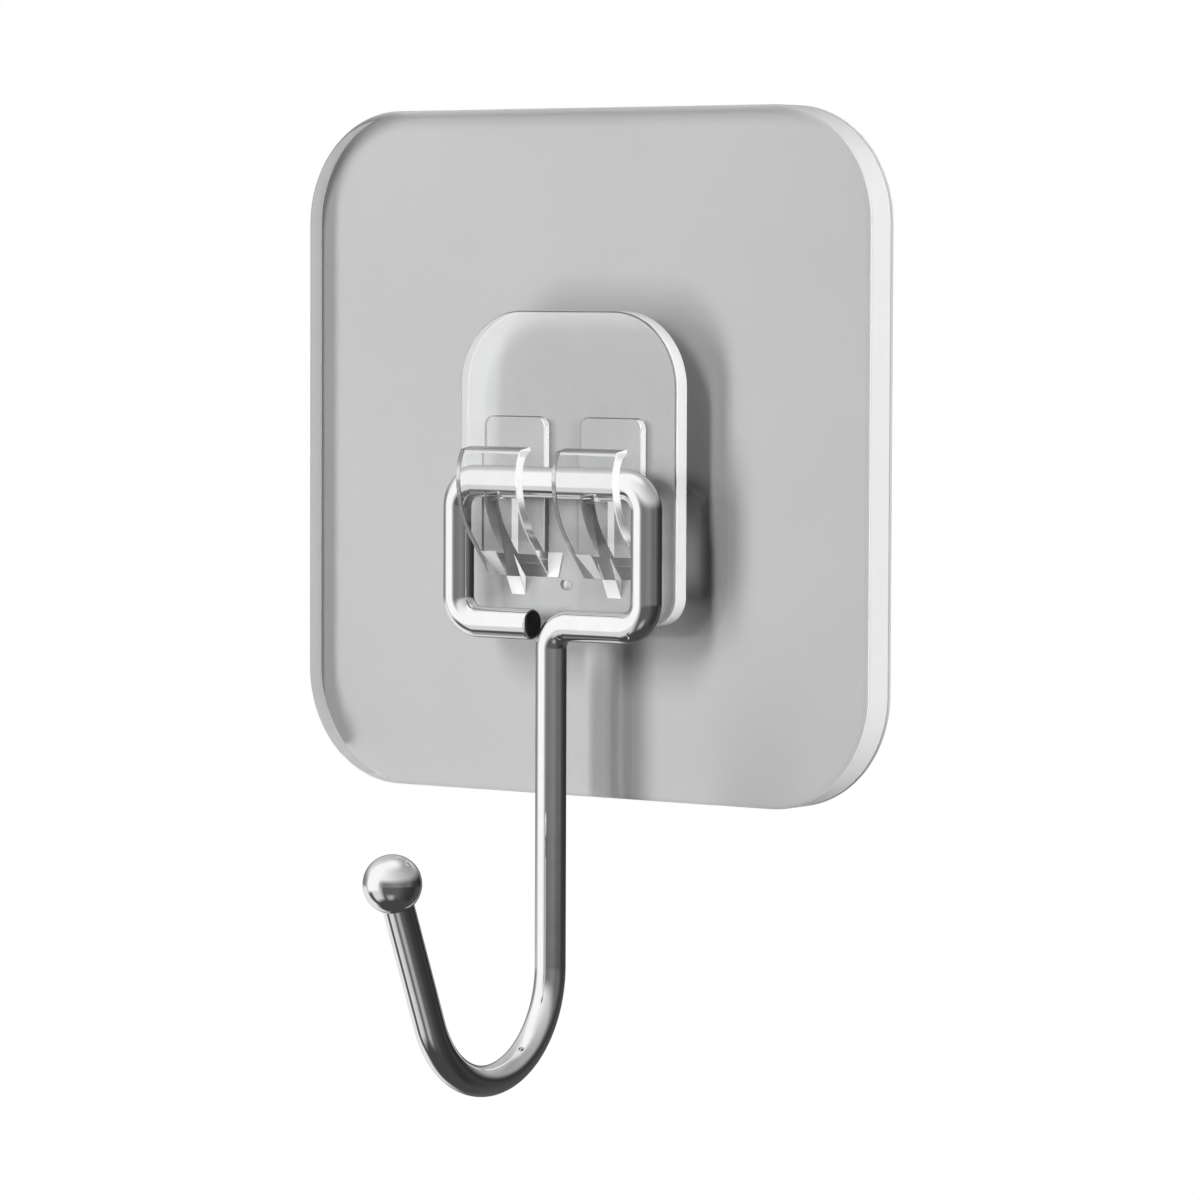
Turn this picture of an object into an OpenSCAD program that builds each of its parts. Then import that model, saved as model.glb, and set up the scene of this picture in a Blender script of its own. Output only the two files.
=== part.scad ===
// Adhesive wall hook. A clear stick-on pad carries a clear moulded seat, and the two spring
// clips of the seat hold a chromed wire hook by the top bar of its ring.
// X runs to the right, Y into the wall and Z up, in millimetres. The origin is the centre
// of the sticky back face.

/* [Pad] */
// Width and height of the square pad
pad_w = 60; // [50:1:90]
// Radius of the pad's corners
pad_corner_r = 10; // [5:0.5:16]
// Thickness of the pad
pad_t = 3.3; // [2:0.1:5]
// Radius along the pad's front edge
pad_edge_r = 0.5; // [0.2:0.1:1.2]
// Thickness of the gel adhesive on the back
film_t = 0.4; // [0.2:0.05:1]
// Height of the pad's centre above the bar that the hook swings on
bar_drop = 2.48; // [0:0.1:5]

/* [Seat] */
// Thickness of the seat's plate
seat_t = 1.65; // [1.4:0.05:3]
// Width of the plate left and right of the clips
seat_side = 3.17; // [2.6:0.1:5]
// Height of the plate above the backs of the clips
seat_head = 9.2; // [7:0.1:12]
// Height of the plate below the feet of the clips
seat_foot = 2.3; // [1.5:0.1:4]
// Radius of the plate's upper corners
seat_head_r = 6.6; // [3:0.1:9]
// Radius of the plate's lower corners
seat_foot_r = 2.6; // [1:0.1:5]
// Radius along the plate's front edge
seat_edge_r = 0.25; // [0.1:0.05:0.6]
// Thickness of the glue between the seat and the pad
bond_t = 0.1; // [0.05:0.01:0.3]
// Width of the rim of the seat that is left without glue
bond_inset = 0.3; // [0.1:0.1:1]

/* [Clips] */
// Width of each clip
clip_w = 6.5; // [5:0.1:9]
// Space between the two clips
clip_gap = 3.75; // [2:0.05:6]
// Thickness of each clip's raised back
back_t = 0.7; // [0.4:0.05:1]
// Height of the raised back above the bar
back_rise = 5.68; // [4.5:0.1:7]
// Radius of the raised back's corners
back_corner_r = 0.9; // [0.4:0.1:1.5]
// Thickness of the spring leaf
leaf_t = 1; // [0.7:0.05:1.4]
// Height of the leaf's widest point above the bar
belly_rise = 0.48; // [0.2:0.05:1]
// Inner radius of the leaf below its widest point
limb_r = 7.5; // [6.5:0.1:9]
// Lean of the leaf where it runs into the plate, in degrees from upright
limb_lean = 41; // [36:1:46]
// Inner radius of the leaf above its widest point
lip_r = 3.3; // [2.9:0.1:4]
// Turn of the leaf above its widest point, in degrees
lip_turn = 33; // [25:1:40]
// Reach of the lip's nose over the bar, from the inside of the leaf
nose_reach = 1.2; // [0.9:0.05:1.5]
// Rise of the nose above the leaf's outer edge
nose_rise = 0.26; // [0:0.02:0.5]
// Thickness of the nose at its tip
nose_t = 0.36; // [0.2:0.02:0.5]
// Width of the rib under each clip
rib_w = 1.5; // [1:0.1:2.5]
// Depth of the rib's foot below the bar
rib_drop = 9.92; // [9.5:0.1:12]

/* [Wire] */
// Diameter of the wire
wire_d = 2.7; // [2.2:0.05:3.2]
// Radius of the ring's corners, at the middle of the wire
corner_r = 2.3; // [1.8:0.1:3]
// Radius of the bend from the ring into the stem, at the middle of the wire
bend_r = 2; // [1.8:0.1:3]
// Length of the stem, from the ring's lower bar to the centre of the hook's bend
stem_len = 29.7; // [15:0.1:60]
// Radius of the hook's bend, at the middle of the wire
hook_r = 9; // [6:0.1:14]
// Lean of the hook's free leg, in degrees from upright
leg_lean = 22.6; // [0:0.1:35]
// Length of the free leg, from the bend to the middle of the ball
leg_len = 13.6; // [8:0.1:25]

/* [Ball] */
// Diameter of the ball
ball_d = 5; // [4.4:0.1:8]
// Depth of the wire's socket past the middle of the ball
socket_past = 0.8; // [0:0.1:1.2]

/* [Fits] */
// Clearance behind the bar, to the raised backs
back_gap = 0.14; // [0.08:0.02:0.5]
// Clearance in front of the bar, to the leaves
leaf_gap = 0.34; // [0.26:0.02:0.6]
// Clearance under the bar, in the ribs' saddles
saddle_gap = 0.06; // [0.03:0.01:0.15]
// Clearance between the clips and the upright sides of the ring
ring_side_gap = 0.3; // [0.2:0.05:1.5]
// Clearance between the feet of the ribs and the ring's lower bar
ring_foot_gap = 1.07; // [0.5:0.05:3]
// Space between the wire's cut end and the stem
cut_gap = 0.65; // [0.3:0.05:3]
// Clearance round the wire in the ball
socket_gap = 0.02; // [0.01:0.01:0.05]

/* [Hidden] */
// Diameter of the moulding pip on the seat, and its depth below the bar
pip_d = 1;
pip_drop = 8.9;
// Overrun of cuts past the surface that they open
overrun = 1;
// Turn by which the leaf's straight ends reach into its curves, in degrees
lap_turn = 4;
// Turn of the hook's bend before its end is cut square, in degrees
hook_turn = 200;
$fn = 96;

// Distances from the wall
pad_back = film_t;
pad_face = pad_back + pad_t;
seat_back = pad_face + bond_t;
seat_face = seat_back + seat_t;

// The bar, measured out from the seat's face
wire_r = wire_d / 2;
bar_out = back_t + back_gap + wire_r;
bar_z = -bar_drop;
saddle_r = wire_r + saddle_gap;

// The leaf's profile: x is the distance out from the seat's face, y the height above the bar
belly_out = bar_out + wire_r + leaf_gap;
limb_centre = [belly_out - limb_r, belly_rise];
lip_centre = [belly_out - lip_r, belly_rise];
limb_inner = limb_centre + limb_r * dir(-limb_lean);
limb_outer = limb_centre + (limb_r + leaf_t) * dir(-limb_lean);
lip_inner = lip_centre + lip_r * dir(lip_turn);
lip_outer = lip_centre + (lip_r + leaf_t) * dir(lip_turn);
nose_tip = [belly_out - nose_reach, lip_outer.y + nose_rise];
// Depth in the plate at which the leaf and the rib end
root_out = -seat_t / 2;
// The rib and the raised back stop half way into the leaf, the rib level with the saddle's ends
saddle_ends = -saddle_r / 2;
rib_front = limb_centre.x + sqrt((limb_r + leaf_t / 2) ^ 2 - (saddle_ends - belly_rise) ^ 2);
back_low = limb_at(limb_middle(-limb_lean), back_t).y;

// The plate, measured from the bar
clip_x = (clip_gap + clip_w) / 2;
seat_w = clip_gap + 2 * clip_w + 2 * seat_side;
seat_low = -rib_drop - seat_foot;
seat_high = back_rise + seat_head;

// The ring and the ball
ring_half = clip_gap / 2 + clip_w + ring_side_gap + wire_r;
ring_h = rib_drop + ring_foot_gap + wire_r;
socket_d = wire_d + 2 * socket_gap;

// Unit vector at an angle
function dir(angle) = [cos(angle), sin(angle)];
// The point half way into the curved limb of the leaf at an angle
function limb_middle(angle) = limb_centre + (limb_r + leaf_t / 2) * dir(angle);
// The point at a distance out from the seat's face, on the straight limb below a point of the leaf
function limb_at(point, out) = [out, point.y - (point.x - out) / tan(limb_lean)];

// Upright outline with round corners, from low to high and centred on X
module plate_outline(w, low, high, low_r, high_r) {
    for (side = [-1, 1]) {
        translate([side * (w / 2 - low_r), low + low_r]) circle(low_r);
        translate([side * (w / 2 - high_r), high - high_r]) circle(high_r);
    }
    polygon([
        [w / 2, low + low_r],
        [w / 2, high - high_r],
        [w / 2 - high_r, high],
        [high_r - w / 2, high],
        [-w / 2, high - high_r],
        [-w / 2, low + low_r],
        [low_r - w / 2, low],
        [w / 2 - low_r, low],
    ]);
}

// Profile of a plate's rim, round at its front outer edge
module rim_profile(t, edge_r) {
    square([edge_r, t - edge_r]);
    intersection() {
        translate([0, t - edge_r]) circle(edge_r);
        square([edge_r, t]);
    }
}

// A straight length of rim, facing the given way
module rim_side(x, y, facing, length, t, edge_r) {
    translate([x, y, 0]) rotate([90, 0, facing])
        linear_extrude(length, center = true) rim_profile(t, edge_r);
}

// A quarter of rim round a corner, starting at the given angle
module rim_corner(x, y, start, r, t, edge_r) {
    translate([x, y, 0]) rotate(start) rotate_extrude(angle = 90)
        translate([r - edge_r, 0]) rim_profile(t, edge_r);
}

// Plate with round corners and a round front edge
module soft_plate(w, low, high, low_r, high_r, t, edge_r) {
    linear_extrude(t) plate_outline(
        w - 2 * edge_r, low + edge_r, high - edge_r, low_r - edge_r, high_r - edge_r);
    side_length = high - high_r - low - low_r;
    side_middle = (high - high_r + low + low_r) / 2;
    rim_side(w / 2 - edge_r, side_middle, 0, side_length, t, edge_r);
    rim_side(edge_r - w / 2, side_middle, 180, side_length, t, edge_r);
    rim_side(0, high - edge_r, 90, w - 2 * high_r, t, edge_r);
    rim_side(0, low + edge_r, -90, w - 2 * low_r, t, edge_r);
    rim_corner(w / 2 - high_r, high - high_r, 0, high_r, t, edge_r);
    rim_corner(high_r - w / 2, high - high_r, 90, high_r, t, edge_r);
    rim_corner(low_r - w / 2, low + low_r, 180, low_r, t, edge_r);
    rim_corner(w / 2 - low_r, low + low_r, -90, low_r, t, edge_r);
}

// Stands a flat shape upright, facing out, at a distance from the wall and a height
module upright(out, z) {
    translate([0, -out, z]) rotate([90, 0, 0]) children();
}

// Carries a side profile across X, out from the seat's face and level with the bar
module across(x, width) {
    translate([x, -seat_face, bar_z]) rotate([90, 0, -90])
        linear_extrude(width, center = true) children();
}

// Curved strip between two angles, with its inner radius and thickness
module curved_strip(centre, inner_r, t, from, to) {
    outer_r = inner_r + t;
    translate(centre) intersection() {
        difference() {
            circle(outer_r);
            circle(inner_r);
        }
        polygon([[0, 0], 2 * outer_r * dir(from), 2 * outer_r * dir(to)]);
    }
}

// Side profile of a clip's leaf: the straight limb, the belly and the lip with its nose
module leaf_profile() {
    lip_lap = lip_centre + (lip_r + leaf_t / 2) * dir(lip_turn - lap_turn);
    polygon([
        limb_inner,
        limb_middle(lap_turn - limb_lean),
        limb_outer,
        limb_at(limb_outer, root_out),
        limb_at(limb_inner, root_out),
    ]);
    curved_strip(limb_centre, limb_r, leaf_t, -limb_lean, 0);
    curved_strip(lip_centre, lip_r, leaf_t, 0, lip_turn);
    polygon([lip_inner, lip_lap, lip_outer, nose_tip, nose_tip - [0, nose_t]]);
}

// Side profile of a clip's rib: a gusset under the leaf and a saddle under the bar
module rib_profile() {
    difference() {
        polygon([
            [root_out, saddle_ends],
            [root_out, -rib_drop],
            [0, -rib_drop],
            limb_middle(lap_turn - limb_lean),
            limb_middle(-limb_lean / 2),
            [rib_front, saddle_ends],
        ]);
        translate([bar_out, 0]) circle(saddle_r);
    }
}

// Outline of a clip's raised back, with round upper corners
module back_outline() {
    half = clip_w / 2;
    for (side = [-1, 1])
        translate([side * (half - back_corner_r), back_rise - back_corner_r]) circle(back_corner_r);
    polygon([
        [half, back_low],
        [half, back_rise - back_corner_r],
        [half - back_corner_r, back_rise],
        [back_corner_r - half, back_rise],
        [-half, back_rise - back_corner_r],
        [-half, back_low],
    ]);
}

// One spring clip, with its raised back
module clip(x) {
    across(x, clip_w) leaf_profile();
    across(x, rib_w) rib_profile();
    translate([x, 0, 0]) upright(seat_face + root_out, bar_z)
        linear_extrude(back_t - root_out) back_outline();
}

// Straight wire along +Z
module rod(length) {
    cylinder(h = length, d = wire_d);
}

// Wire bent about Z, starting at a given angle
module bend(x, y, r, start, turn) {
    translate([x, y, 0]) rotate(start) rotate_extrude(angle = turn)
        translate([r, 0]) circle(d = wire_d);
}

// Wire along X, from one place to another, at a height
module cross_bar(from, to, y) {
    translate([from, y, 0]) rotate([0, 90, 0]) rod(to - from);
}

// Wire along Y, from one height to another
module upright_bar(x, from, to) {
    translate([x, from, 0]) rotate([-90, 0, 0]) rod(to - from);
}

// Frame of the hook's bend: its centre, with the stem on the +X side and down along +Y
module hook_frame() {
    translate([0, -ring_h - stem_len, hook_r]) rotate([0, 90, 180]) children();
}

// Frame of the free leg: +Z along the wire, from a distance past the bend
module leg_frame(along) {
    hook_frame() rotate(180 - leg_lean) translate([hook_r, along, 0]) rotate([-90, 0, 0]) children();
}

// The hook's bend, cut square where the leg starts
module hook_bend() {
    reach = hook_r + wire_d;
    hook_frame() difference() {
        bend(0, 0, hook_r, 0, hook_turn);
        rotate(180 - leg_lean) translate([0, 0, -reach / 2]) cube(reach);
    }
}

// The ring, from the cut end round to the bend of the stem, with the bar at y = 0
module ring() {
    corner_x = ring_half - corner_r;
    corner_y = corner_r - ring_h;
    cross_bar(-corner_x, -wire_r - cut_gap, -ring_h);
    bend(-corner_x, corner_y, corner_r, 180, 90);
    upright_bar(-ring_half, corner_y, -corner_r);
    bend(-corner_x, -corner_r, corner_r, 90, 90);
    cross_bar(-corner_x, corner_x, 0);
    bend(corner_x, -corner_r, corner_r, 0, 90);
    upright_bar(ring_half, corner_y, -corner_r);
    bend(corner_x, corner_y, corner_r, -90, 90);
    cross_bar(bend_r, corner_x, -ring_h);
    bend(bend_r, -ring_h - bend_r, bend_r, 90, 90);
}

// Clear gel on the back of the pad
module adhesive_film() {
    color("gainsboro", 0.6) upright(0, 0) linear_extrude(film_t)
        plate_outline(pad_w, -pad_w / 2, pad_w / 2, pad_corner_r, pad_corner_r);
}

// Clear square pad
module wall_pad() {
    color("silver", 0.6) upright(pad_back, 0)
        soft_plate(pad_w, -pad_w / 2, pad_w / 2, pad_corner_r, pad_corner_r, pad_t, pad_edge_r);
}

// Clear glue between the seat and the pad
module seat_bond() {
    color("gainsboro", 0.6) upright(pad_face, bar_z) linear_extrude(bond_t)
        plate_outline(
            seat_w - 2 * bond_inset, seat_low + bond_inset, seat_high - bond_inset,
            seat_foot_r - bond_inset, seat_head_r - bond_inset);
}

// Clear seat, moulded in one with its two clips
module clip_seat() {
    color("lightgray", 0.6) {
        upright(seat_back, bar_z)
            soft_plate(seat_w, seat_low, seat_high, seat_foot_r, seat_head_r, seat_t, seat_edge_r);
        for (side = [-1, 1]) clip(side * clip_x);
        translate([0, -seat_face, bar_z - pip_drop]) sphere(d = pip_d);
    }
}

// Chromed wire: the ring, the stem, the bend of the hook and its free leg
module wire_hook() {
    color("gray") upright(seat_face + bar_out, bar_z) {
        ring();
        upright_bar(0, -ring_h - stem_len, -ring_h - bend_r);
        hook_bend();
        leg_frame(0) rod(leg_len + socket_past - socket_gap);
    }
}

// Chromed ball, pressed on the end of the wire
module ball_tip() {
    color("darkgray") upright(seat_face + bar_out, bar_z) leg_frame(leg_len) difference() {
        sphere(d = ball_d);
        translate([0, 0, -ball_d / 2 - overrun])
            cylinder(h = ball_d / 2 + overrun + socket_past, d = socket_d);
    }
}

adhesive_film();
wall_pad();
seat_bond();
clip_seat();
wire_hook();
ball_tip();
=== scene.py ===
import math

import bpy
import numpy as np
from mathutils import Matrix


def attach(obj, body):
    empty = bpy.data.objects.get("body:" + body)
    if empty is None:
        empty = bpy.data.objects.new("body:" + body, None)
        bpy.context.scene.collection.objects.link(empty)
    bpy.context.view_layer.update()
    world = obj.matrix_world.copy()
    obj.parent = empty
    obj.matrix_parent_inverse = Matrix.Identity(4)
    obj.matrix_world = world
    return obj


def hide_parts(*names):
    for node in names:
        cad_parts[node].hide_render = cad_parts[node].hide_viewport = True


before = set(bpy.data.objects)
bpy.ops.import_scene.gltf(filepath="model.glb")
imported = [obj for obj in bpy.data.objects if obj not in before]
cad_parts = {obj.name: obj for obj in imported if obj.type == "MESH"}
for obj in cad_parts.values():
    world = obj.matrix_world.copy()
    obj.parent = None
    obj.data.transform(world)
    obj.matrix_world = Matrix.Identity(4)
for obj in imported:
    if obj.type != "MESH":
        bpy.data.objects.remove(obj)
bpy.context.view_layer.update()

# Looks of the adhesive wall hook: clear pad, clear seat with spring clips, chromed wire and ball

MM = 0.001
TAU = 2 * math.pi

# Sizes of the hook in millimetres, the same as those of the solids
PAD_HALF, PAD_CORNER, PAD_BACK, PAD_FACE, PAD_EDGE = 30.0, 10.0, 0.4, 3.7, 0.5
BAR_Z = -2.48
SEAT_HALF, SEAT_LOW, SEAT_HIGH = 11.545, -12.22, 14.88
SEAT_FOOT_R, SEAT_HEAD_R, SEAT_EDGE = 2.6, 6.6, 0.25
SEAT_BACK, SEAT_FACE = 3.8, 5.45
CLIP_X, CLIP_HALF = 5.125, 3.25
BACK_RISE, BACK_T, BACK_CORNER = 5.68, 0.7, 0.9
LEAF_T, LIMB_R, LIMB_LEAN, LIP_R, LIP_TURN = 1.0, 7.5, 41.0, 3.3, 33.0
BELLY_OUT, BELLY_RISE = 3.88, 0.48
NOSE_REACH, NOSE_RISE, NOSE_T = 1.2, 0.26, 0.36
RIB_HALF, RIB_DROP, ROOT_OUT = 0.75, 9.92, -0.825
PIP_R, PIP_DROP = 0.5, 8.9
BOND_INSET = 0.3
WIRE_R, BAR_OUT, SADDLE_R = 1.35, 2.19, 1.41
RING_HALF, RING_H, RING_CORNER, STEM_BEND = 10.025, 12.34, 2.3, 2.0
STEM_LEN, HOOK_R, LEG_LEAN, LEG_LEN, CUT_GAP = 29.7, 9.0, 22.6, 13.6, 0.65
BALL_R, SOCKET_R, SOCKET_PAST = 2.5, 1.37, 0.8

# Sizes of what the scene alone has, in millimetres: the marks at the leaves' roots, the ribs' satin feet, small
# edges, and the air between the clear pieces, so that each keeps its own surfaces
MARK_RISE, MARK_SUNK, MARK_TOP, MARK_FOOT = 0.1, -0.25, -6.13, -8.3
MARK_LEFT, MARK_W, MARK_TAPER, MARK_SLANT, MARK_LAP = -2.75, 1.6, 0.75, 0.5, 0.1
PAD_BACK_EDGE, GEL_EDGE, GLUE_EDGE, SEAT_BACK_EDGE = 0.12, 0.06, 0.02, 0.08
BACK_EDGE, LEAF_EDGE, RIB_EDGE, HIDDEN_EDGE, MARK_EDGE = 0.12, 0.1, 0.06, 0.01, 0.04
LIP_SHOULDER, NOSE_EDGE, LIP_HOLLOW, MOUTH_EDGE = 0.3, 0.14, 0.5, 0.06
RIB_FROST = 8.3
CUT_ALONG, CUT_INSET = (0, 0.05, 0.2), (0.2, 0.05, 0)
HAIR = 0.02


def arc(centre, r, start, end, n):
    """Points on a circle: centre plus r times (cos a, sin a), with a running evenly in degrees."""
    a = np.radians(np.linspace(start, end, n))
    return np.asarray(centre) + r * np.column_stack([np.cos(a), np.sin(a)])


def round_corner(before, corner, after, r, n=7):
    """The arc of radius r that touches both legs of a corner, as n points from one leg to the other."""
    before, corner, after = (np.asarray(p, float) for p in (before, corner, after))
    u = (before - corner) / np.linalg.norm(before - corner)
    v = (after - corner) / np.linalg.norm(after - corner)
    half = 0.5 * math.acos(float(np.clip(u @ v, -1, 1)))
    middle = corner + (u + v) / np.linalg.norm(u + v) * r / math.sin(half)
    first, last = corner + u * r / math.tan(half) - middle, corner + v * r / math.tan(half) - middle
    a0 = math.atan2(first[1], first[0])
    turn = (math.atan2(last[1], last[0]) - a0 + math.pi) % TAU - math.pi
    a = a0 + turn * np.linspace(0, 1, n)
    return middle + r * np.column_stack([np.cos(a), np.sin(a)])


def plate_outline(half, low, high, low_r, high_r, n=22):
    """Outline of a plate: four quarter circles, joined by straight runs, counterclockwise."""
    return np.vstack([
        arc((half - low_r, low + low_r), low_r, -90, 0, n),
        arc((half - high_r, high - high_r), high_r, 0, 90, n),
        arc((high_r - half, high - high_r), high_r, 90, 180, n),
        arc((low_r - half, low + low_r), low_r, 180, 270, n),
    ])


def outline_normals(loop):
    """Outward unit normals of a counterclockwise loop: the step from the point before to the next, turned
    right."""
    step = np.roll(loop, -1, 0) - np.roll(loop, 1, 0)
    out = np.column_stack([step[:, 1], -step[:, 0]])
    return out / np.linalg.norm(out, axis=1)[:, None]


def edge_profile(depth0, depth1, r0, r1, n=7):
    """Rim of a slab from depth0 to depth1: rows of (inset, depth), round with r0 at the first edge and r1 at
    the last."""
    t = np.radians(np.linspace(0, 90, n))
    first = np.column_stack([r0 * (1 - np.sin(t)), depth0 + r0 * (1 - np.cos(t))])
    last = np.column_stack([r1 * (1 - np.cos(t)), depth1 - r1 * (1 - np.sin(t))])
    return np.vstack([first, last])


def ring_faces(count, n):
    """Faces of a closed grid of count rings of n points: the quads between neighbours, then the first and
    last ring."""
    i = np.arange(n)
    j = np.roll(i, -1)
    base = (np.arange(count - 1) * n)[:, None]
    quads = np.stack([base + i, base + j, base + n + j, base + n + i], 2).reshape(-1, 4)
    return quads.tolist() + [i[::-1].tolist(), (i + (count - 1) * n).tolist()]


def slab(loop, rows):
    """A loop carried through rows of (inset, depth): each row is the loop moved in along its normals. Gives
    the points as (across, up, depth), the side faces and the two flat ends."""
    normals, count, n = outline_normals(loop), len(rows), len(loop)
    flat = loop[None] - rows[:, :1, None] * normals[None]
    depth = np.repeat(rows[:, 1], n).reshape(count, n, 1)
    return np.concatenate([flat, depth], 2).reshape(-1, 3), ring_faces(count, n)


def facing_out(points):
    """Turns (across, up, depth) to the hook's frame, in metres: depth runs out from the wall, along -Y."""
    return points[:, [0, 2, 1]] * np.array([MM, -MM, MM])


def across_bar(points, x):
    """Turns (out, up, depth) to the hook's frame, in metres: out from the seat's face, up from the bar, depth
    along X."""
    return np.column_stack([x - points[:, 2], -SEAT_FACE - points[:, 0], BAR_Z + points[:, 1]]) * MM


def piece(name, points, faces, material):
    """A mesh object of one material, at the origin with its place in its points."""
    mesh = bpy.data.meshes.new(name)
    mesh.from_pydata(points.tolist(), [], faces)
    mesh.update()
    obj = bpy.data.objects.new(name, mesh)
    bpy.context.scene.collection.objects.link(obj)
    mesh.materials.append(material)
    return obj


def soften(obj, sharp=35):
    """Smooth shading with the flats kept flat: edges over the given angle stay sharp, wide faces set the
    normals."""
    obj.data.polygons.foreach_set("use_smooth", np.ones(len(obj.data.polygons), bool))
    obj.data.set_sharp_from_angle(angle=math.radians(sharp))
    weigh = obj.modifiers.new("flats", "WEIGHTED_NORMAL")
    weigh.keep_sharp = True
    weigh.weight = 100
    apply_modifiers(obj)


def apply_modifiers(obj):
    """Puts the object's evaluated mesh in place of its own and drops its modifiers."""
    done = bpy.data.meshes.new_from_object(obj.evaluated_get(bpy.context.evaluated_depsgraph_get()))
    done.name = obj.name
    obj.modifiers.clear()
    obj.data = done


def mould(body, others):
    """One closed moulding: the others are joined to the body without inner walls."""
    for other in others:
        join = body.modifiers.new("join", "BOOLEAN")
        join.operation, join.solver, join.object = "UNION", "MANIFOLD", other
        apply_modifiers(body)
        bpy.data.objects.remove(other)


# Materials

PLASTIC_IOR = 1.49
POLISH, SATIN = (0.0, 0.05), (0.36, 0.44)
PAD_TINT, SATIN_TINT = (0.97, 0.975, 0.98), (0.96, 0.965, 0.97)
STEEP, DOWN = 0.4, -0.7


def new_material(name):
    """An empty material with its node tree and output."""
    m = bpy.data.materials.new(name)
    m.use_nodes = True
    nt = m.node_tree
    nt.nodes.clear()
    return m, nt, nt.nodes.new("ShaderNodeOutputMaterial")


def ramp(nt, source, stops):
    """A colour ramp of greys: stops are (place, grey)."""
    r = nt.nodes.new("ShaderNodeValToRGB")
    e = r.color_ramp.elements
    while len(e) < len(stops):
        e.new(0.5)
    for k, (place, grey) in enumerate(stops):
        e[k].position = place
        e[k].color = (grey, grey, grey, 1)
    nt.links.new(source, r.inputs[0])
    return r.outputs[0]


def noise(nt, scale, detail=3.0, stretch=None):
    """Noise in the object's own coordinates; stretch is the scale along each axis."""
    place = nt.nodes.new("ShaderNodeTexCoord").outputs["Object"]
    if stretch is not None:
        turn = nt.nodes.new("ShaderNodeMapping")
        turn.inputs["Scale"].default_value = stretch
        nt.links.new(place, turn.inputs[0])
        place = turn.outputs[0]
    n = nt.nodes.new("ShaderNodeTexNoise")
    n.inputs["Scale"].default_value = scale
    n.inputs["Detail"].default_value = detail
    nt.links.new(place, n.inputs["Vector"])
    return n.outputs[0]


def bump(nt, height, strength, distance):
    """A bump node on a height."""
    b = nt.nodes.new("ShaderNodeBump")
    b.inputs["Strength"].default_value = strength
    b.inputs["Distance"].default_value = distance
    nt.links.new(height, b.inputs["Height"])
    return b.outputs[0]


def clear_plastic(name, tint, lets_light, rough, clear=1.0, glow=0.0, shine=0.5):
    """Clear plastic. Faint smears change the roughness from the first to the second value, lamps shine
    through it as far as lets_light says, what isn't clear is a milky haze, a share glows with the light from
    behind, and shine sets how strongly it mirrors."""
    m, nt, out = new_material(name)
    p = nt.nodes.new("ShaderNodeBsdfPrincipled")
    p.inputs["Base Color"].default_value = (*tint, 1)
    p.inputs["Transmission Weight"].default_value = clear
    p.inputs["IOR"].default_value = PLASTIC_IOR
    p.inputs["Specular IOR Level"].default_value = shine
    smear = noise(nt, 160, 4, (1, 1, 0.35))
    nt.links.new(ramp(nt, smear, [(0.35, rough[0]), (0.75, rough[1])]), p.inputs["Roughness"])
    passing = nt.nodes.new("ShaderNodeBsdfTransparent")
    passing.inputs[0].default_value = (lets_light, lets_light, lets_light, 1)
    path = nt.nodes.new("ShaderNodeLightPath")
    surface = p.outputs[0]
    if glow:
        behind = nt.nodes.new("ShaderNodeBsdfTranslucent")
        behind.inputs[0].default_value = (*tint, 1)
        mix = nt.nodes.new("ShaderNodeMixShader")
        mix.inputs[0].default_value = glow
        nt.links.new(surface, mix.inputs[1])
        nt.links.new(behind.outputs[0], mix.inputs[2])
        surface = mix.outputs[0]
    for ray in ("Is Shadow Ray", "Is Diffuse Ray"):
        mix = nt.nodes.new("ShaderNodeMixShader")
        nt.links.new(path.outputs[ray], mix.inputs[0])
        nt.links.new(surface, mix.inputs[1])
        nt.links.new(passing.outputs[0], mix.inputs[2])
        surface = mix.outputs[0]
    nt.links.new(surface, out.inputs[0])
    return m


def grey_gel(name):
    """Soft grey adhesive: a cloudy body colour and a dull, slightly pebbled skin."""
    m, nt, out = new_material(name)
    p = nt.nodes.new("ShaderNodeBsdfPrincipled")
    cloud = noise(nt, 45, 5)
    nt.links.new(ramp(nt, cloud, [(0.3, 0.60), (0.7, 0.64)]), p.inputs["Base Color"])
    nt.links.new(ramp(nt, noise(nt, 420, 3), [(0.3, 0.45), (0.7, 0.62)]), p.inputs["Roughness"])
    p.inputs["Specular IOR Level"].default_value = 0.0
    nt.links.new(bump(nt, noise(nt, 900, 2), 0.05, 0.00002), p.inputs["Normal"])
    nt.links.new(p.outputs[0], out.inputs[0])
    return m


def tacky_gel(name):
    """The sticky back of the adhesive: wet gloss, small dimples spread by a cell pattern, and cloudy
    patches."""
    m, nt, out = new_material(name)
    p = nt.nodes.new("ShaderNodeBsdfPrincipled")
    cells = nt.nodes.new("ShaderNodeTexVoronoi")
    cells.inputs["Scale"].default_value = 1300
    cells.inputs["Randomness"].default_value = 0.8
    nt.links.new(nt.nodes.new("ShaderNodeTexCoord").outputs["Object"], cells.inputs["Vector"])
    nt.links.new(ramp(nt, noise(nt, 70, 5), [(0.3, 0.59), (0.7, 0.64)]), p.inputs["Base Color"])
    nt.links.new(ramp(nt, noise(nt, 240, 4), [(0.3, 0.18), (0.7, 0.36)]), p.inputs["Roughness"])
    dimples = ramp(nt, cells.outputs["Distance"], [(0.1, 0.0), (0.45, 1.0)])
    nt.links.new(bump(nt, dimples, 0.35, 0.00005), p.inputs["Normal"])
    nt.links.new(p.outputs[0], out.inputs[0])
    return m


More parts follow.
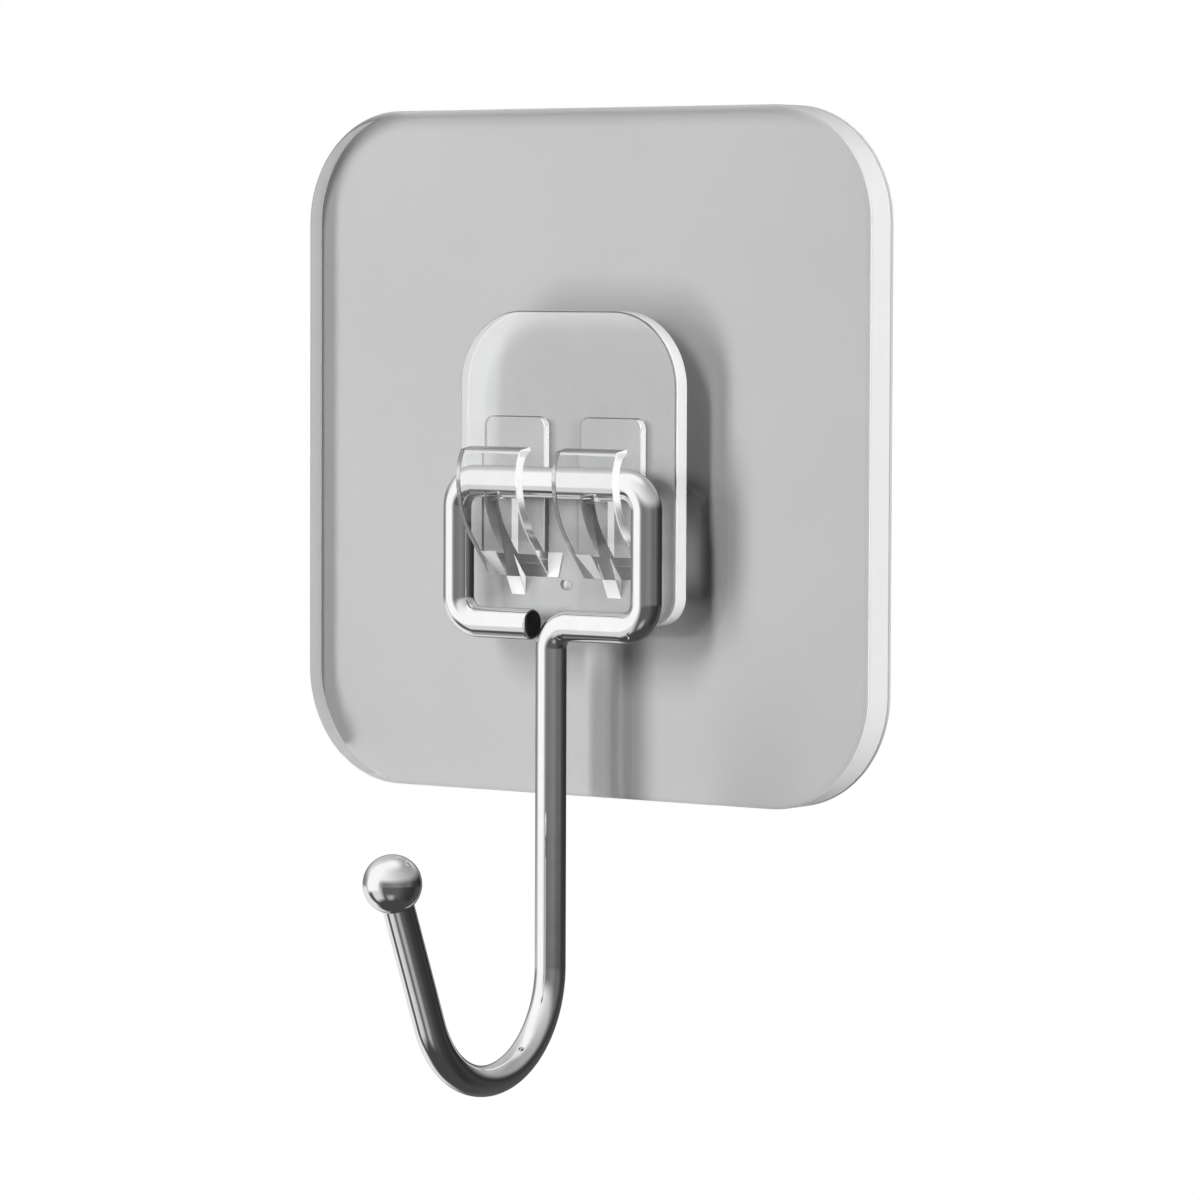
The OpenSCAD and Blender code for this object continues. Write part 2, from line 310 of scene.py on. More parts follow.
def clear_glue(name):
    """Thin clear glue: almost nothing shows of it but a faint milkiness."""
    m, nt, out = new_material(name)
    p = nt.nodes.new("ShaderNodeBsdfPrincipled")
    p.inputs["Base Color"].default_value = (0.8, 0.81, 0.82, 1)
    p.inputs["Roughness"].default_value = 0.4
    p.inputs["Specular IOR Level"].default_value = 0.1
    nt.links.new(ramp(nt, noise(nt, 260, 4), [(0.35, 0.02), (0.7, 0.06)]), p.inputs["Alpha"])
    nt.links.new(p.outputs[0], out.inputs[0])
    return m


def chrome(name, grey):
    """Bright chrome: a mirror, very slightly uneven, with faint cloudy dullness."""
    m, nt, out = new_material(name)
    p = nt.nodes.new("ShaderNodeBsdfPrincipled")
    p.inputs["Metallic"].default_value = 1
    nt.links.new(ramp(nt, noise(nt, 700, 4), [(0.3, grey - 0.02), (0.7, grey + 0.02)]), p.inputs["Base Color"])
    nt.links.new(ramp(nt, noise(nt, 350, 4), [(0.3, 0.03), (0.75, 0.07)]), p.inputs["Roughness"])
    nt.links.new(bump(nt, noise(nt, 260, 2), 1.0, 0.000012), p.inputs["Normal"])
    nt.links.new(p.outputs[0], out.inputs[0])
    return m


def bare_steel(name):
    """The wire's sheared end: dark bare steel with torn lines down it."""
    m, nt, out = new_material(name)
    p = nt.nodes.new("ShaderNodeBsdfPrincipled")
    p.inputs["Metallic"].default_value = 1
    torn = noise(nt, 900, 4, (1, 1, 0.15))
    nt.links.new(ramp(nt, torn, [(0.3, 0.05), (0.7, 0.14)]), p.inputs["Base Color"])
    p.inputs["Roughness"].default_value = 0.45
    nt.links.new(bump(nt, torn, 0.4, 0.00008), p.inputs["Normal"])
    nt.links.new(p.outputs[0], out.inputs[0])
    return m


def finish_by_side(obj, walls, back, foot=None):
    """Gives faces a finish by the Y of their normal: the walls' one below STEEP, and the back's one on the
    side to the wall. The walls that face down can have one of their own."""
    mesh = obj.data
    normals = np.empty(3 * len(mesh.polygons))
    mesh.polygons.foreach_get("normal", normals)
    depth = normals[1::3]
    index = (np.abs(depth) < STEEP).astype(np.int32)
    mesh.materials.append(walls)
    mesh.materials.append(back)
    index[depth >= STEEP] = 2
    if foot is not None:
        mesh.materials.append(foot)
        index[(index == 1) & (normals[2::3] < DOWN)] = 3
    mesh.polygons.foreach_set("material_index", index)


pad_plastic = clear_plastic("clear_pad_plastic", PAD_TINT, 0.88, POLISH, 0.98, shine=0.1)
pad_back = clear_plastic("clear_pad_back", PAD_TINT, 0.96, POLISH, shine=0.05)
pad_wall = clear_plastic("satin_pad_wall", SATIN_TINT, 0.1, SATIN, 0.25, 0.2)
pad_foot = clear_plastic("satin_pad_foot", SATIN_TINT, 0.95, SATIN, 0.25, 0.2)
seat_plastic = clear_plastic("clear_seat_plastic", (0.91, 0.915, 0.92), 0.94, POLISH)
seat_face = clear_plastic("milky_seat_face", (0.93, 0.935, 0.94), 0.12, POLISH, 0.78)
seat_wall = clear_plastic("satin_seat_wall", SATIN_TINT, 0.1, (0.3, 0.38), 0.25, 0.2)
leaf_side = clear_plastic("satin_leaf_side", (0.95, 0.955, 0.96), 0.6, (0.12, 0.2), 0.8, 0.03)
# painted shade: a dark grey tint for the leaves' tips and left edges, standing in for the dark lines that light
# bending in their clear edges draws
shade_tinted_edge = clear_plastic("painted_shade_leaf_edge", (0.3, 0.305, 0.31), 0.9, POLISH)
gel = grey_gel("grey_gel")
gel_back = tacky_gel("tacky_gel")
glue = clear_glue("clear_glue")
bright_chrome = chrome("bright_chrome", 0.93)
cut_steel = bare_steel("cut_steel")

# Pad, gel and glue

pad_loop = plate_outline(PAD_HALF, -PAD_HALF, PAD_HALF, PAD_CORNER, PAD_CORNER, 40)
points, faces = slab(pad_loop, edge_profile(PAD_BACK + HAIR, PAD_FACE, PAD_BACK_EDGE, PAD_EDGE, 9))
pad = piece("pad", facing_out(points), faces, pad_plastic)
finish_by_side(pad, pad_wall, pad_back, pad_foot)
soften(pad)
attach(pad, "mount")
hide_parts("wall_pad")
pad.visible_glossy = False  # as for the gel and seat: the chrome mirrors the studio alone

points, faces = slab(pad_loop, edge_profile(0, PAD_BACK, GEL_EDGE, GEL_EDGE, 4))
film = piece("gel_film", facing_out(points), faces, gel)
finish_by_side(film, gel, gel_back)
soften(film)
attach(film, "mount")
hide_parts("adhesive_film")
film.visible_glossy = False

glue_loop = plate_outline(
    SEAT_HALF - BOND_INSET, SEAT_LOW + BOND_INSET, SEAT_HIGH - BOND_INSET, SEAT_FOOT_R - BOND_INSET,
    SEAT_HEAD_R - BOND_INSET) + [0, BAR_Z]
points, faces = slab(glue_loop, edge_profile(PAD_FACE + HAIR, SEAT_BACK - HAIR, GLUE_EDGE, GLUE_EDGE, 3))
bond = piece("glue_layer", facing_out(points), faces, glue)
soften(bond)
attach(bond, "mount")
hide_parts("seat_bond")


# Seat and clips

def on_circle(angle):
    """Unit vector at an angle in degrees."""
    return np.array([math.cos(math.radians(angle)), math.sin(math.radians(angle))])


LIMB_C = np.array([BELLY_OUT - LIMB_R, BELLY_RISE])
LIP_C = np.array([BELLY_OUT - LIP_R, BELLY_RISE])
LIMB_MID = LIMB_R + LEAF_T / 2


def down_limb(point, out):
    """The point at a distance out from the seat's face on the straight limb below a point of the leaf."""
    return np.array([out, point[1] - (point[0] - out) / math.tan(math.radians(LIMB_LEAN))])


def leaf_loop():
    """Side outline of a spring leaf: straight limb, belly and lip arcs up the outside, the nose, and back
    inside."""
    limb_out = LIMB_C + (LIMB_R + LEAF_T) * on_circle(-LIMB_LEAN)
    limb_in = LIMB_C + LIMB_R * on_circle(-LIMB_LEAN)
    lip_out = LIP_C + (LIP_R + LEAF_T) * on_circle(LIP_TURN)
    lip_in = LIP_C + LIP_R * on_circle(LIP_TURN)
    tip = np.array([BELLY_OUT - NOSE_REACH, lip_out[1] + NOSE_RISE])
    under = tip - [0, NOSE_T]
    up = np.array([-math.sin(math.radians(LIP_TURN)), math.cos(math.radians(LIP_TURN))])
    return np.vstack([
        down_limb(limb_out, ROOT_OUT),
        arc(LIMB_C, LIMB_R + LEAF_T, -LIMB_LEAN, 0, 26)[:-1],
        arc(LIP_C, LIP_R + LEAF_T, 0, LIP_TURN - 3, 16),
        round_corner(lip_out - up, lip_out, tip, LIP_SHOULDER),
        round_corner(lip_out, tip, under, NOSE_EDGE),
        round_corner(tip, under, lip_in, NOSE_EDGE),
        round_corner(under, lip_in, lip_in - up, LIP_HOLLOW),
        arc(LIP_C, LIP_R, LIP_TURN - 4, 0, 14)[:-1],
        arc(LIMB_C, LIMB_R, 0, -LIMB_LEAN, 26),
        down_limb(limb_in, ROOT_OUT),
    ])


def rib_loop():
    """Side outline of a rib: the gusset from the plate to the middle of the leaf, and the saddle under the
    bar."""
    ends = -SADDLE_R / 2
    front = LIMB_C[0] + math.sqrt(LIMB_MID ** 2 - (ends - BELLY_RISE) ** 2)
    side = math.degrees(math.asin(0.5))
    top = LIMB_C + LIMB_MID * on_circle(4 - LIMB_LEAN)
    return np.vstack([
        [ROOT_OUT, -RIB_DROP],
        [0.0, -RIB_DROP],
        [top[0] * (RIB_DROP - RIB_FROST) / (RIB_DROP + top[1]), -RIB_FROST],
        top,
        LIMB_C + LIMB_MID * on_circle(-LIMB_LEAN / 2),
        [front, ends],
        arc((BAR_OUT, 0), SADDLE_R, -side, side - 180, 24),
        [ROOT_OUT, ends],
    ])


def limb_front(up):
    """How far out from the seat's face the front of a leaf's straight limb is, at a height from the bar."""
    end = LIMB_C + (LIMB_R + LEAF_T) * on_circle(-LIMB_LEAN)
    return end[0] - (end[1] - up) * math.tan(math.radians(LIMB_LEAN))


def root_mark(corners, base):
    """A low flat mark on the moulding: its outline across and up from the bar, raised from a base that is a
    function of the height."""
    loop = np.asarray(corners, float)
    points, faces = slab(loop, edge_profile(MARK_SUNK, MARK_RISE, HIDDEN_EDGE, MARK_EDGE, 4))
    points[:, 2] += SEAT_FACE + base(points[:, 1])
    points[:, 1] += BAR_Z
    return facing_out(points), faces


def seat_finish(obj, walls, sides, edges, face):
    """Finishes of the moulding by place: satin on the plate's rim, the raised backs' right walls, the leaves'
    right edges, the marks at their roots and the ribs' feet; a fainter satin on the raised backs' other walls and
    the leaves' and ribs' sides; painted shade on the leaves' tips and left edges, a dark tint for the dark lines
    that their clear edges show; a slightly milky front on the plate and the raised backs; and polish on all the
    rest."""
    mesh = obj.data
    for finish in (walls, sides, edges, face):
        mesh.materials.append(finish)
    count = len(mesh.polygons)
    middles, normals = np.empty(3 * count), np.empty(3 * count)
    mesh.polygons.foreach_get("center", middles)
    mesh.polygons.foreach_get("normal", normals)
    x, out, up = middles[0::3] / MM, -middles[1::3] / MM - SEAT_FACE, middles[2::3] / MM - BAR_Z
    nx, ny, nz = normals[0::3], normals[1::3], normals[2::3]
    along = np.where(x < 0, x + CLIP_X, x - CLIP_X)
    skin, square, slant, half = 0.02, 0.97, 0.2, 0.5
    backs_low, bar_low, tip_low = -4.5, -0.5, 2
    rim = (out <= skin) & (np.abs(ny) < 0.35)
    front = out > skin
    backs = front & (out < BACK_T + skin) & (up > backs_low) & (np.abs(ny) < 0.8)
    rib = np.abs(along) < RIB_HALF + 0.01
    side = front & (np.abs(nx) > square) | backs
    leaf = front & ~backs & ~rib
    right = leaf & (nx > slant) & (nx <= square)
    left = leaf & (nx < -slant) & (nx > -square)
    tips = (up > tip_low) & (nz > half) & (np.abs(nx) < half)
    on_limb = (along > MARK_LEFT - 0.1) & (along < MARK_LEFT + MARK_W + 0.15) & (out > limb_front(up) + skin)
    on_plate = along > CLIP_HALF - skin
    marks = front & (up < MARK_TOP + 0.1) & (up > MARK_FOOT - 0.2) & (on_limb | on_plate)
    feet = front & rib & (up < -RIB_FROST)
    index = np.zeros(count, np.int32)
    index[side] = 2
    index[((np.abs(out) < skin) | (np.abs(out - BACK_T) < skin)) & (ny < -0.9)] = 4
    # painted shade: the leaves' tips and left edges get the dark tint
    index[left | tips] = 3
    index[rim | backs & (nx >= half) & (up > bar_low) | right | marks | feet] = 1
    mesh.polygons.foreach_set("material_index", index)


def back_loop(x):
    """Outline of a clip's raised back: square at its hidden lower end, round at its upper corners."""
    low = down_limb(LIMB_C + LIMB_MID * on_circle(-LIMB_LEAN), BACK_T)[1]
    high, half, r = BACK_RISE, CLIP_HALF, BACK_CORNER
    return np.vstack([
        [half, low],
        arc((half - r, high - r), r, 0, 90, 12),
        arc((r - half, high - r), r, 90, 180, 12),
        [-half, low],
    ]) + [x, BAR_Z]


def ball_grid(centre, r, n=24):
    """A sphere of n rings, as a closed lathe: rings of radius r sin a at r cos a, with a point at each
    pole."""
    a = np.linspace(0, math.pi, n + 1)[1:-1]
    t = np.linspace(0, TAU, 2 * n, endpoint=False)
    rings = np.stack([
        np.outer(np.sin(a), np.cos(t)), np.outer(np.sin(a), np.sin(t)), np.outer(np.cos(a), np.ones(2 * n))], 2)
    points = np.vstack([rings.reshape(-1, 3), [[0, 0, 1], [0, 0, -1]]]) * r + centre
    i = np.arange(2 * n)
    j = np.roll(i, -1)
    base = (np.arange(n - 2) * 2 * n)[:, None]
    quads = np.stack([base + i, base + 2 * n + i, base + 2 * n + j, base + j], 2).reshape(-1, 4).tolist()
    last, top = (n - 2) * 2 * n, (n - 1) * 2 * n
    caps = np.column_stack([i, j, np.full(2 * n, top)]).tolist()
    caps += np.column_stack([last + j, last + i, np.full(2 * n, top + 1)]).tolist()
    return points, quads + caps


seat_loop = plate_outline(SEAT_HALF, SEAT_LOW, SEAT_HIGH, SEAT_FOOT_R, SEAT_HEAD_R, 30) + [0, BAR_Z]
points, faces = slab(seat_loop, edge_profile(SEAT_BACK, SEAT_FACE, SEAT_BACK_EDGE, SEAT_EDGE, 8))
seat = piece("clip_moulding", facing_out(points), faces, seat_plastic)
added = []
for side in (-1, 1):
    points, faces = slab(
        back_loop(side * CLIP_X),
        edge_profile(SEAT_FACE + ROOT_OUT, SEAT_FACE + BACK_T, HIDDEN_EDGE, BACK_EDGE, 6))
    added.append(piece("back", facing_out(points), faces, seat_plastic))
    points, faces = slab(leaf_loop(), edge_profile(-CLIP_HALF, CLIP_HALF, LEAF_EDGE, LEAF_EDGE, 6))
    added.append(piece("leaf", across_bar(points, side * CLIP_X), faces, seat_plastic))
    points, faces = slab(rib_loop(), edge_profile(-RIB_HALF, RIB_HALF, RIB_EDGE, RIB_EDGE, 4))
    added.append(piece("rib", across_bar(points, side * CLIP_X), faces, seat_plastic))
    left, right = side * CLIP_X + MARK_LEFT, side * CLIP_X + CLIP_HALF
    mark = [(left + MARK_TAPER, MARK_FOOT), (left + MARK_W, MARK_FOOT),
            (left + MARK_W, MARK_TOP), (left, MARK_TOP)]
    added.append(piece("mark", *root_mark(mark, limb_front), seat_plastic))
    mark = [(right - MARK_LAP, MARK_FOOT), (right + MARK_W - MARK_SLANT, MARK_FOOT),
            (right + MARK_W, MARK_TOP), (right - MARK_LAP, MARK_TOP)]
    added.append(piece("mark", *root_mark(mark, np.zeros_like), seat_plastic))
points, faces = ball_grid([0, -SEAT_FACE, BAR_Z - PIP_DROP], PIP_R)
added.append(piece("pip", points * MM, faces, seat_plastic))
mould(seat, added)
seat_finish(seat, seat_wall, leaf_side, shade_tinted_edge, seat_face)
soften(seat)
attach(seat, "mount")
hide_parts("clip_seat")
seat.visible_glossy = False


# Wire and ball

def wire_path():
    """Middle line of the wire with its two cross directions. The ring and stem lie in an upright plane, so
    one cross direction is Y there; the bend and leg lie in the plane of Y and Z, so the other is X."""
    x, h, c, s = RING_HALF, RING_H, RING_CORNER, STEM_BEND
    corner_n, bend_n, leg_n, leg_from = 24, 72, 24, 0.3
    flat = np.vstack([
        [[-WIRE_R - CUT_GAP, -h]],
        arc((c - x, c - h), c, 270, 180, corner_n),
        arc((c - x, -c), c, 180, 90, corner_n),
        arc((x - c, -c), c, 90, 0, corner_n),
        arc((x - c, c - h), c, 0, -90, corner_n),
        arc((s, -h - s), s, 90, 180, corner_n),
    ])
    side = np.column_stack([flat[:, 0], np.zeros(len(flat)), flat[:, 1]])
    ends = arc((HOOK_R, 0), HOOK_R, 180, 360 - LEG_LEAN, bend_n)
    last = ends[-1] + on_circle(90 - LEG_LEAN) * np.linspace(leg_from, LEG_LEN + SOCKET_PAST, leg_n)[:, None]
    hook = np.vstack([ends, last])
    hook = np.column_stack([np.zeros(len(hook)), -hook[:, 0], hook[:, 1] - h - STEM_LEN])
    path = np.vstack([side, hook])
    turn = np.radians(np.linspace(180, 360 - LEG_LEAN, bend_n))
    corner = np.radians(np.concatenate([np.linspace(start, start - 90, corner_n) for start in (270, 180, 90, 0)]))
    down = np.radians(np.linspace(90, 180, corner_n))
    tangent = np.vstack([
        [[-1, 0, 0]],
        np.column_stack([np.sin(corner), 0 * corner, -np.cos(corner)]),
        np.column_stack([-np.sin(down), 0 * down, np.cos(down)]),
        np.column_stack([0 * turn, np.sin(turn), np.cos(turn)]),
        np.repeat([[0, -math.sin(math.radians(LEG_LEAN)), math.cos(math.radians(LEG_LEAN))]], leg_n, 0),
    ])
    in_plane = np.arange(len(path))[:, None] < len(side)
    x_way, y_way = np.array([[1.0, 0, 0]]), np.array([[0, 1.0, 0]])
    first = np.where(in_plane, y_way, np.cross(x_way, tangent))
    second = np.where(in_plane, np.cross(tangent, y_way), x_way)
    return path, tangent, first, second


def tube(path, tangent, first, second, n=48):
    """Wire of round section: each point is the middle line plus r (cos a first + sin a second). Its cut end
    has a small chamfer, and both ends are closed."""
    path = np.vstack([path[:1] + np.array(CUT_ALONG)[:, None] * tangent[:1], path[1:]])
    r = np.full(len(path), WIRE_R)
    r[:len(CUT_INSET)] -= CUT_INSET
    first, second = (np.vstack([v[:1], v[:1], v]) for v in (first, second))
    a = np.linspace(0, TAU, n, endpoint=False)[:, None]
    grid = path[:, None] + r[:, None, None] * (np.cos(a) * first[:, None] + np.sin(a) * second[:, None])
    return grid.reshape(-1, 3), ring_faces(len(path), n)


path, tangent, first, second = wire_path()
points, faces = tube(path, tangent, first, second)
points = (points + [0, -SEAT_FACE - BAR_OUT, BAR_Z]) * MM
wire = piece("wire", points, faces, bright_chrome)
wire.data.materials.append(cut_steel)
wire.data.polygons[len(faces) - 2].material_index = 1
soften(wire, 30)
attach(wire, "hook")
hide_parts("wire_hook")


def ball_lathe(n=64):
    """The ball as a lathe about its leg: rows of (radius, along), from inside the socket over its round lip
    and the sphere."""
    lip = math.degrees(math.acos(SOCKET_R / BALL_R))
    body = arc((0, 0), BALL_R, -lip + 4, 89, 60)
    mouth = np.array([SOCKET_R, -BALL_R * math.sin(math.radians(lip))])
    rows = np.vstack([
        [[SOCKET_R, SOCKET_PAST]], [[SOCKET_R, mouth[1] + 0.25]],
        round_corner((SOCKET_R, 0), mouth, body[0], MOUTH_EDGE, 5), body])
    t = np.linspace(0, TAU, n, endpoint=False)
    grid = np.stack([
        np.outer(rows[:, 0], np.cos(t)), np.outer(rows[:, 0], np.sin(t)), np.repeat(rows[:, 1:], n, 1)], 2)
    return grid.reshape(-1, 3), ring_faces(len(rows), n)


points, faces = ball_lathe()
lean = math.radians(LEG_LEAN)
bend_end = np.array([0, -SEAT_FACE - BAR_OUT - HOOK_R - HOOK_R * math.cos(lean),
                     BAR_Z - RING_H - STEM_LEN - HOOK_R * math.sin(lean)])
leg_way = np.array([0, -math.sin(lean), math.cos(lean)])
turned = np.column_stack([
    points[:, 0], points[:, 1] * math.cos(lean) - points[:, 2] * math.sin(lean),
    points[:, 1] * math.sin(lean) + points[:, 2] * math.cos(lean)])
ball = piece("ball", (turned + bend_end + leg_way * LEG_LEN) * MM, faces, bright_chrome)
soften(ball, 40)
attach(ball, "hook")
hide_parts("ball_tip")


# Camera

CAMERA_TURNS = (35.3833, 3.2740, 0.2111)
CAMERA_LENS, CAMERA_SENSOR = 166.88, 36
CAMERA_AT = (282.092, -397.548, 14.911)


def camera():
    """The camera that the photo was taken with, worked out from the edges of the pad and the seat: yaw, pitch
    and roll in degrees, the lens and the place in millimetres."""
    yaw, pitch, roll = (math.radians(a) for a in CAMERA_TURNS)
    ahead0 = np.array([-math.sin(yaw), math.cos(yaw), 0])
    right0 = np.array([math.cos(yaw), math.sin(yaw), 0])
    up0 = np.array([0, 0, 1.0])
    ahead = ahead0 * math.cos(pitch) - up0 * math.sin(pitch)
    up1 = up0 * math.cos(pitch) + ahead0 * math.sin(pitch)
    right = right0 * math.cos(roll) + up1 * math.sin(roll)
    up = up1 * math.cos(roll) - right0 * math.sin(roll)
    data = bpy.data.cameras.new("camera")
    data.sensor_width, data.lens = CAMERA_SENSOR, CAMERA_LENS
    data.clip_start, data.clip_end = 0.01, 50
    cam = bpy.data.objects.new("camera", data)
    m = np.eye(4)
    m[:3, 0], m[:3, 1], m[:3, 2], m[:3, 3] = right, up, -ahead, np.array(CAMERA_AT) * MM
    cam.matrix_world = Matrix(m.tolist())
    bpy.context.scene.collection.objects.link(cam)
    bpy.context.scene.camera = cam


camera()


# Nodes

def math_node(nt, kind, a, b=None, clamp=False):
    """A Math node on a socket or number and a second one."""
    n = nt.nodes.new("ShaderNodeMath")
    n.operation, n.use_clamp = kind, clamp
    for k, v in enumerate((a, b)):
        if v is None:
            continue
        if isinstance(v, (int, float)):
            n.inputs[k].default_value = v
        else:
            nt.links.new(v, n.inputs[k])
    return n.outputs[0]


def mix_colour(nt, share, a, b):
    """The colours a and b mixed by a share."""
    n = nt.nodes.new("ShaderNodeMix")
    n.data_type = "RGBA"
    nt.links.new(share, n.inputs["Factor"])
    nt.links.new(a, n.inputs[6])
    nt.links.new(b, n.inputs[7])
    return n.outputs[2]


def step(nt, value, low, high):
    """0 below low, 1 above high and smooth between."""
    n = nt.nodes.new("ShaderNodeMapRange")
    n.interpolation_type = "SMOOTHSTEP"
    n.inputs["From Min"].default_value, n.inputs["From Max"].default_value = low, high
    nt.links.new(value, n.inputs["Value"])
    return n.outputs[0]


# Floor

def floor(z, half):
    """A plain white floor well below the hook. It isn't seen in mirrors and gives no light back to the
    hook."""
    m, nt, out = new_material("white_floor")
    dull = nt.nodes.new("ShaderNodeBsdfDiffuse")
    dull.inputs[0].default_value = (0.9, 0.9, 0.9, 1)
    shine = nt.nodes.new("ShaderNodeEmission")
    mix = nt.nodes.new("ShaderNodeMixShader")
    path = nt.nodes.new("ShaderNodeLightPath")
    seen = math_node(nt, "MAXIMUM", path.outputs["Is Camera Ray"], path.outputs["Is Transmission Ray"])
    nt.links.new(seen, mix.inputs[0])
    nt.links.new(dull.outputs[0], mix.inputs[1])
    nt.links.new(shine.outputs[0], mix.inputs[2])
    nt.links.new(mix.outputs[0], out.inputs[0])
    corners = np.array([[-half, -half, z], [half, -half, z], [half, half, z], [-half, half, z]])
    obj = piece("floor", corners, [[0, 1, 2, 3]], m)
    obj.visible_glossy = obj.visible_diffuse = False
    return obj


ground = floor(-0.16, 0.9)


# Light

def studio(ambient):
    """The room: white where it is seen directly or through the clear plastic, soft grey light on dull
    surfaces, and for mirrors a studio with a tall white screen at the front left, a pale ceiling, a dark
    floor and a dark right side. Its greys go by degrees from the front, at eye level, above and below, and
    blend by the rise."""
    world = bpy.data.worlds.new("studio")
    bpy.context.scene.world = world
    world.use_nodes = True
    nt = world.node_tree
    nt.nodes.clear()
    out = nt.nodes.new("ShaderNodeOutputWorld")
    way = nt.nodes.new("ShaderNodeSeparateXYZ")
    nt.links.new(nt.nodes.new("ShaderNodeTexCoord").outputs["Generated"], way.inputs[0])
    heading = math_node(nt, "ARCTAN2", way.outputs[0], math_node(nt, "MULTIPLY", way.outputs[1], -1.0))
    turn = math_node(nt, "ADD", math_node(nt, "DIVIDE", heading, TAU), 0.5)
    rise = math_node(nt, "MULTIPLY", math_node(nt, "ARCSINE", way.outputs[2]), 180 / math.pi)
    around = lambda *stops: ramp(nt, turn, [(degrees / 360 + 0.5, grey) for degrees, grey in stops])
    level = around(
        (-180, 0.04), (-150, 0.1), (-125, 0.22), (-92, 0.25), (-80, 0.5), (-70, 1.0), (-22, 1.0), (-12, 0.45),
        (-3, 0.22), (10, 0.18), (30, 0.2), (50, 0.23), (66, 0.2), (80, 0.15), (88, 0.14), (104, 0.15),
        (114, 0.11), (122, 0.07), (134, 0.045), (165, 0.025), (180, 0.04))
    above = around(
        (-180, 0.5), (-150, 0.5), (-120, 0.55), (-90, 0.75), (-75, 1.0), (-22, 1.0), (-5, 0.92), (20, 0.8),
        (60, 0.6), (110, 0.42), (150, 0.35), (180, 0.5))
    below = around(
        (-180, 0.08), (-141, 0.12), (-124, 0.8), (-84, 0.85), (-74, 0.1), (-58, 0.08), (-52, 0.7), (-18, 0.7),
        (-6, 0.35), (0, 0.11), (60, 0.11), (90, 0.05), (130, 0.03), (155, 0.07), (180, 0.08))
    bottom, low_card, top = (nt.nodes.new("ShaderNodeRGB") for _ in range(3))
    bottom.outputs[0].default_value = (0.06, 0.06, 0.06, 1)
    low_card.outputs[0].default_value = (0.42, 0.42, 0.42, 1)
    top.outputs[0].default_value = (1, 1, 1, 1)
    degrees = math_node(nt, "MULTIPLY", heading, 180 / math.pi)
    front_left = math_node(nt, "MULTIPLY", step(nt, degrees, -84, -70), step(nt, degrees, -12, -26))
    lower = math_node(nt, "ADD", step(nt, rise, -4.5, -10), math_node(
        nt, "MULTIPLY", front_left, -1.0), clamp=True)
    lower = math_node(nt, "MAXIMUM", lower, step(nt, rise, -14, -25))
    grey = mix_colour(nt, lower, level, below)
    grey = mix_colour(nt, step(nt, rise, -42, -60), grey, bottom.outputs[0])
    card = math_node(nt, "MULTIPLY", step(nt, degrees, 2, 26), step(nt, degrees, 56, 32))
    card = math_node(nt, "MULTIPLY", card, math_node(
        nt, "MULTIPLY", step(nt, rise, -30, -44), step(nt, rise, -64, -48)))
    grey = mix_colour(nt, card, grey, low_card.outputs[0])
    grey = mix_colour(nt, step(nt, rise, 3, 26), grey, above)
    grey = mix_colour(nt, step(nt, rise, 54, 84), grey, top.outputs[0])
    path = nt.nodes.new("ShaderNodeLightPath")
    seen = math_node(nt, "MAXIMUM", path.outputs["Is Camera Ray"], path.outputs["Is Transmission Ray"])
    plain, mirrored, white = (nt.nodes.new("ShaderNodeBackground") for _ in range(3))
    plain.inputs[0].default_value = (1, 1, 1, 1)
    plain.inputs[1].default_value = ambient
    white.inputs[0].default_value = (1, 1, 1, 1)
    nt.links.new(grey, mirrored.inputs[0])
    first, second = (nt.nodes.new("ShaderNodeMixShader") for _ in range(2))
    nt.links.new(path.outputs["Is Glossy Ray"], first.inputs[0])
    nt.links.new(plain.outputs[0], first.inputs[1])
    nt.links.new(mirrored.outputs[0], first.inputs[2])
    nt.links.new(seen, second.inputs[0])
    nt.links.new(first.outputs[0], second.inputs[1])
    nt.links.new(white.outputs[0], second.inputs[2])
    nt.links.new(second.outputs[0], out.inputs[0])


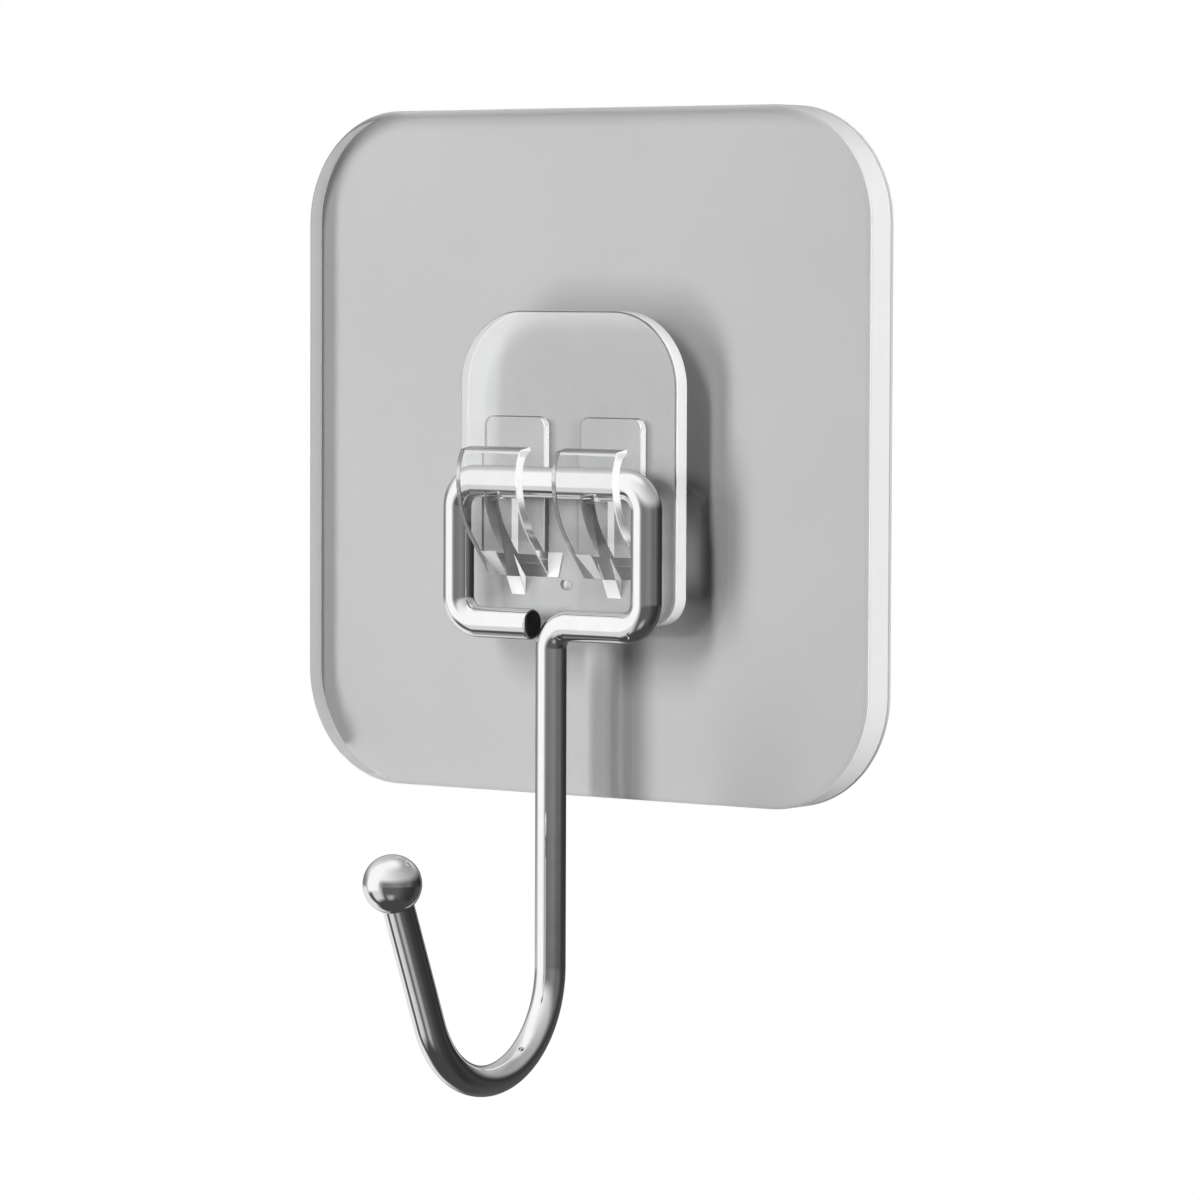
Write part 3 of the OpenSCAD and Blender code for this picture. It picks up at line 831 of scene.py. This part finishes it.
def lamp(name, turn, rise, far, wide, tall, watts, link=None, target=None, through=None):
    """A soft lamp at a turn from the front and a rise in degrees, far from the pad's middle in metres and
    pointing at it, wide and tall in metres. It can light one piece alone, or all but that piece, and shine
    through another: light bends as it enters the clear pad, so the film has lamps of its own, nearer the
    front."""
    data = bpy.data.lights.new(name, "AREA")
    data.shape, data.size, data.size_y, data.energy = "RECTANGLE", wide, tall, watts
    obj = bpy.data.objects.new(name, data)
    t, e = math.radians(turn), math.radians(rise)
    back = np.array([math.sin(t) * math.cos(e), -math.cos(t) * math.cos(e), math.sin(e)])
    right = np.cross([0, 0, 1.0], back)
    right /= np.linalg.norm(right)
    m = np.eye(4)
    m[:3, 0], m[:3, 1], m[:3, 2], m[:3, 3] = right, np.cross(back, right), back, back * far
    obj.matrix_world = Matrix(m.tolist())
    obj.visible_camera = obj.visible_glossy = obj.visible_transmission = False
    bpy.context.scene.collection.objects.link(obj)
    if link:
        lit = bpy.data.collections.new(name + "_lights")
        lit.objects.link(target)
        lit.collection_objects[0].light_linking.link_state = link
        obj.light_linking.receiver_collection = lit
    if through:
        passed = bpy.data.collections.new(name + "_passes")
        passed.objects.link(through)
        passed.collection_objects[0].light_linking.link_state = "EXCLUDE"
        obj.light_linking.blocker_collection = passed


studio(0.03)
lamp("key", -46, 9, 0.8, 0.24, 0.34, 7.2, "EXCLUDE", film)
lamp("key_in_plastic", -10.6, 21, 0.36, 0.036, 0.145, 0.56, "INCLUDE", film)
lamp("fill_in_plastic", -31, -9, 1.0, 0.2, 0.8, 7.5, "INCLUDE", film, ground)
lamp("rim", 105, 15, 0.5, 0.25, 0.25, 2.0)
lamp("clip_rim", 72, 12, 0.5, 0.25, 0.25, 2.6, "INCLUDE", seat)
lamp("clip_front", -20, 12, 0.42, 0.12, 0.12, 1.2, "INCLUDE", seat)
lamp("top", -10, 55, 0.18, 0.12, 0.12, 0.04, "EXCLUDE", film)
lamp("back", 160, 25, 0.8, 0.3, 0.3, 5.0, "INCLUDE", film)


# Finish

scene = bpy.context.scene
scene.view_settings.view_transform = "Standard"
scene.cycles.max_bounces = 40
scene.cycles.glossy_bounces = 40
scene.cycles.transmission_bounces = 40

bpy.context.view_layer.update()
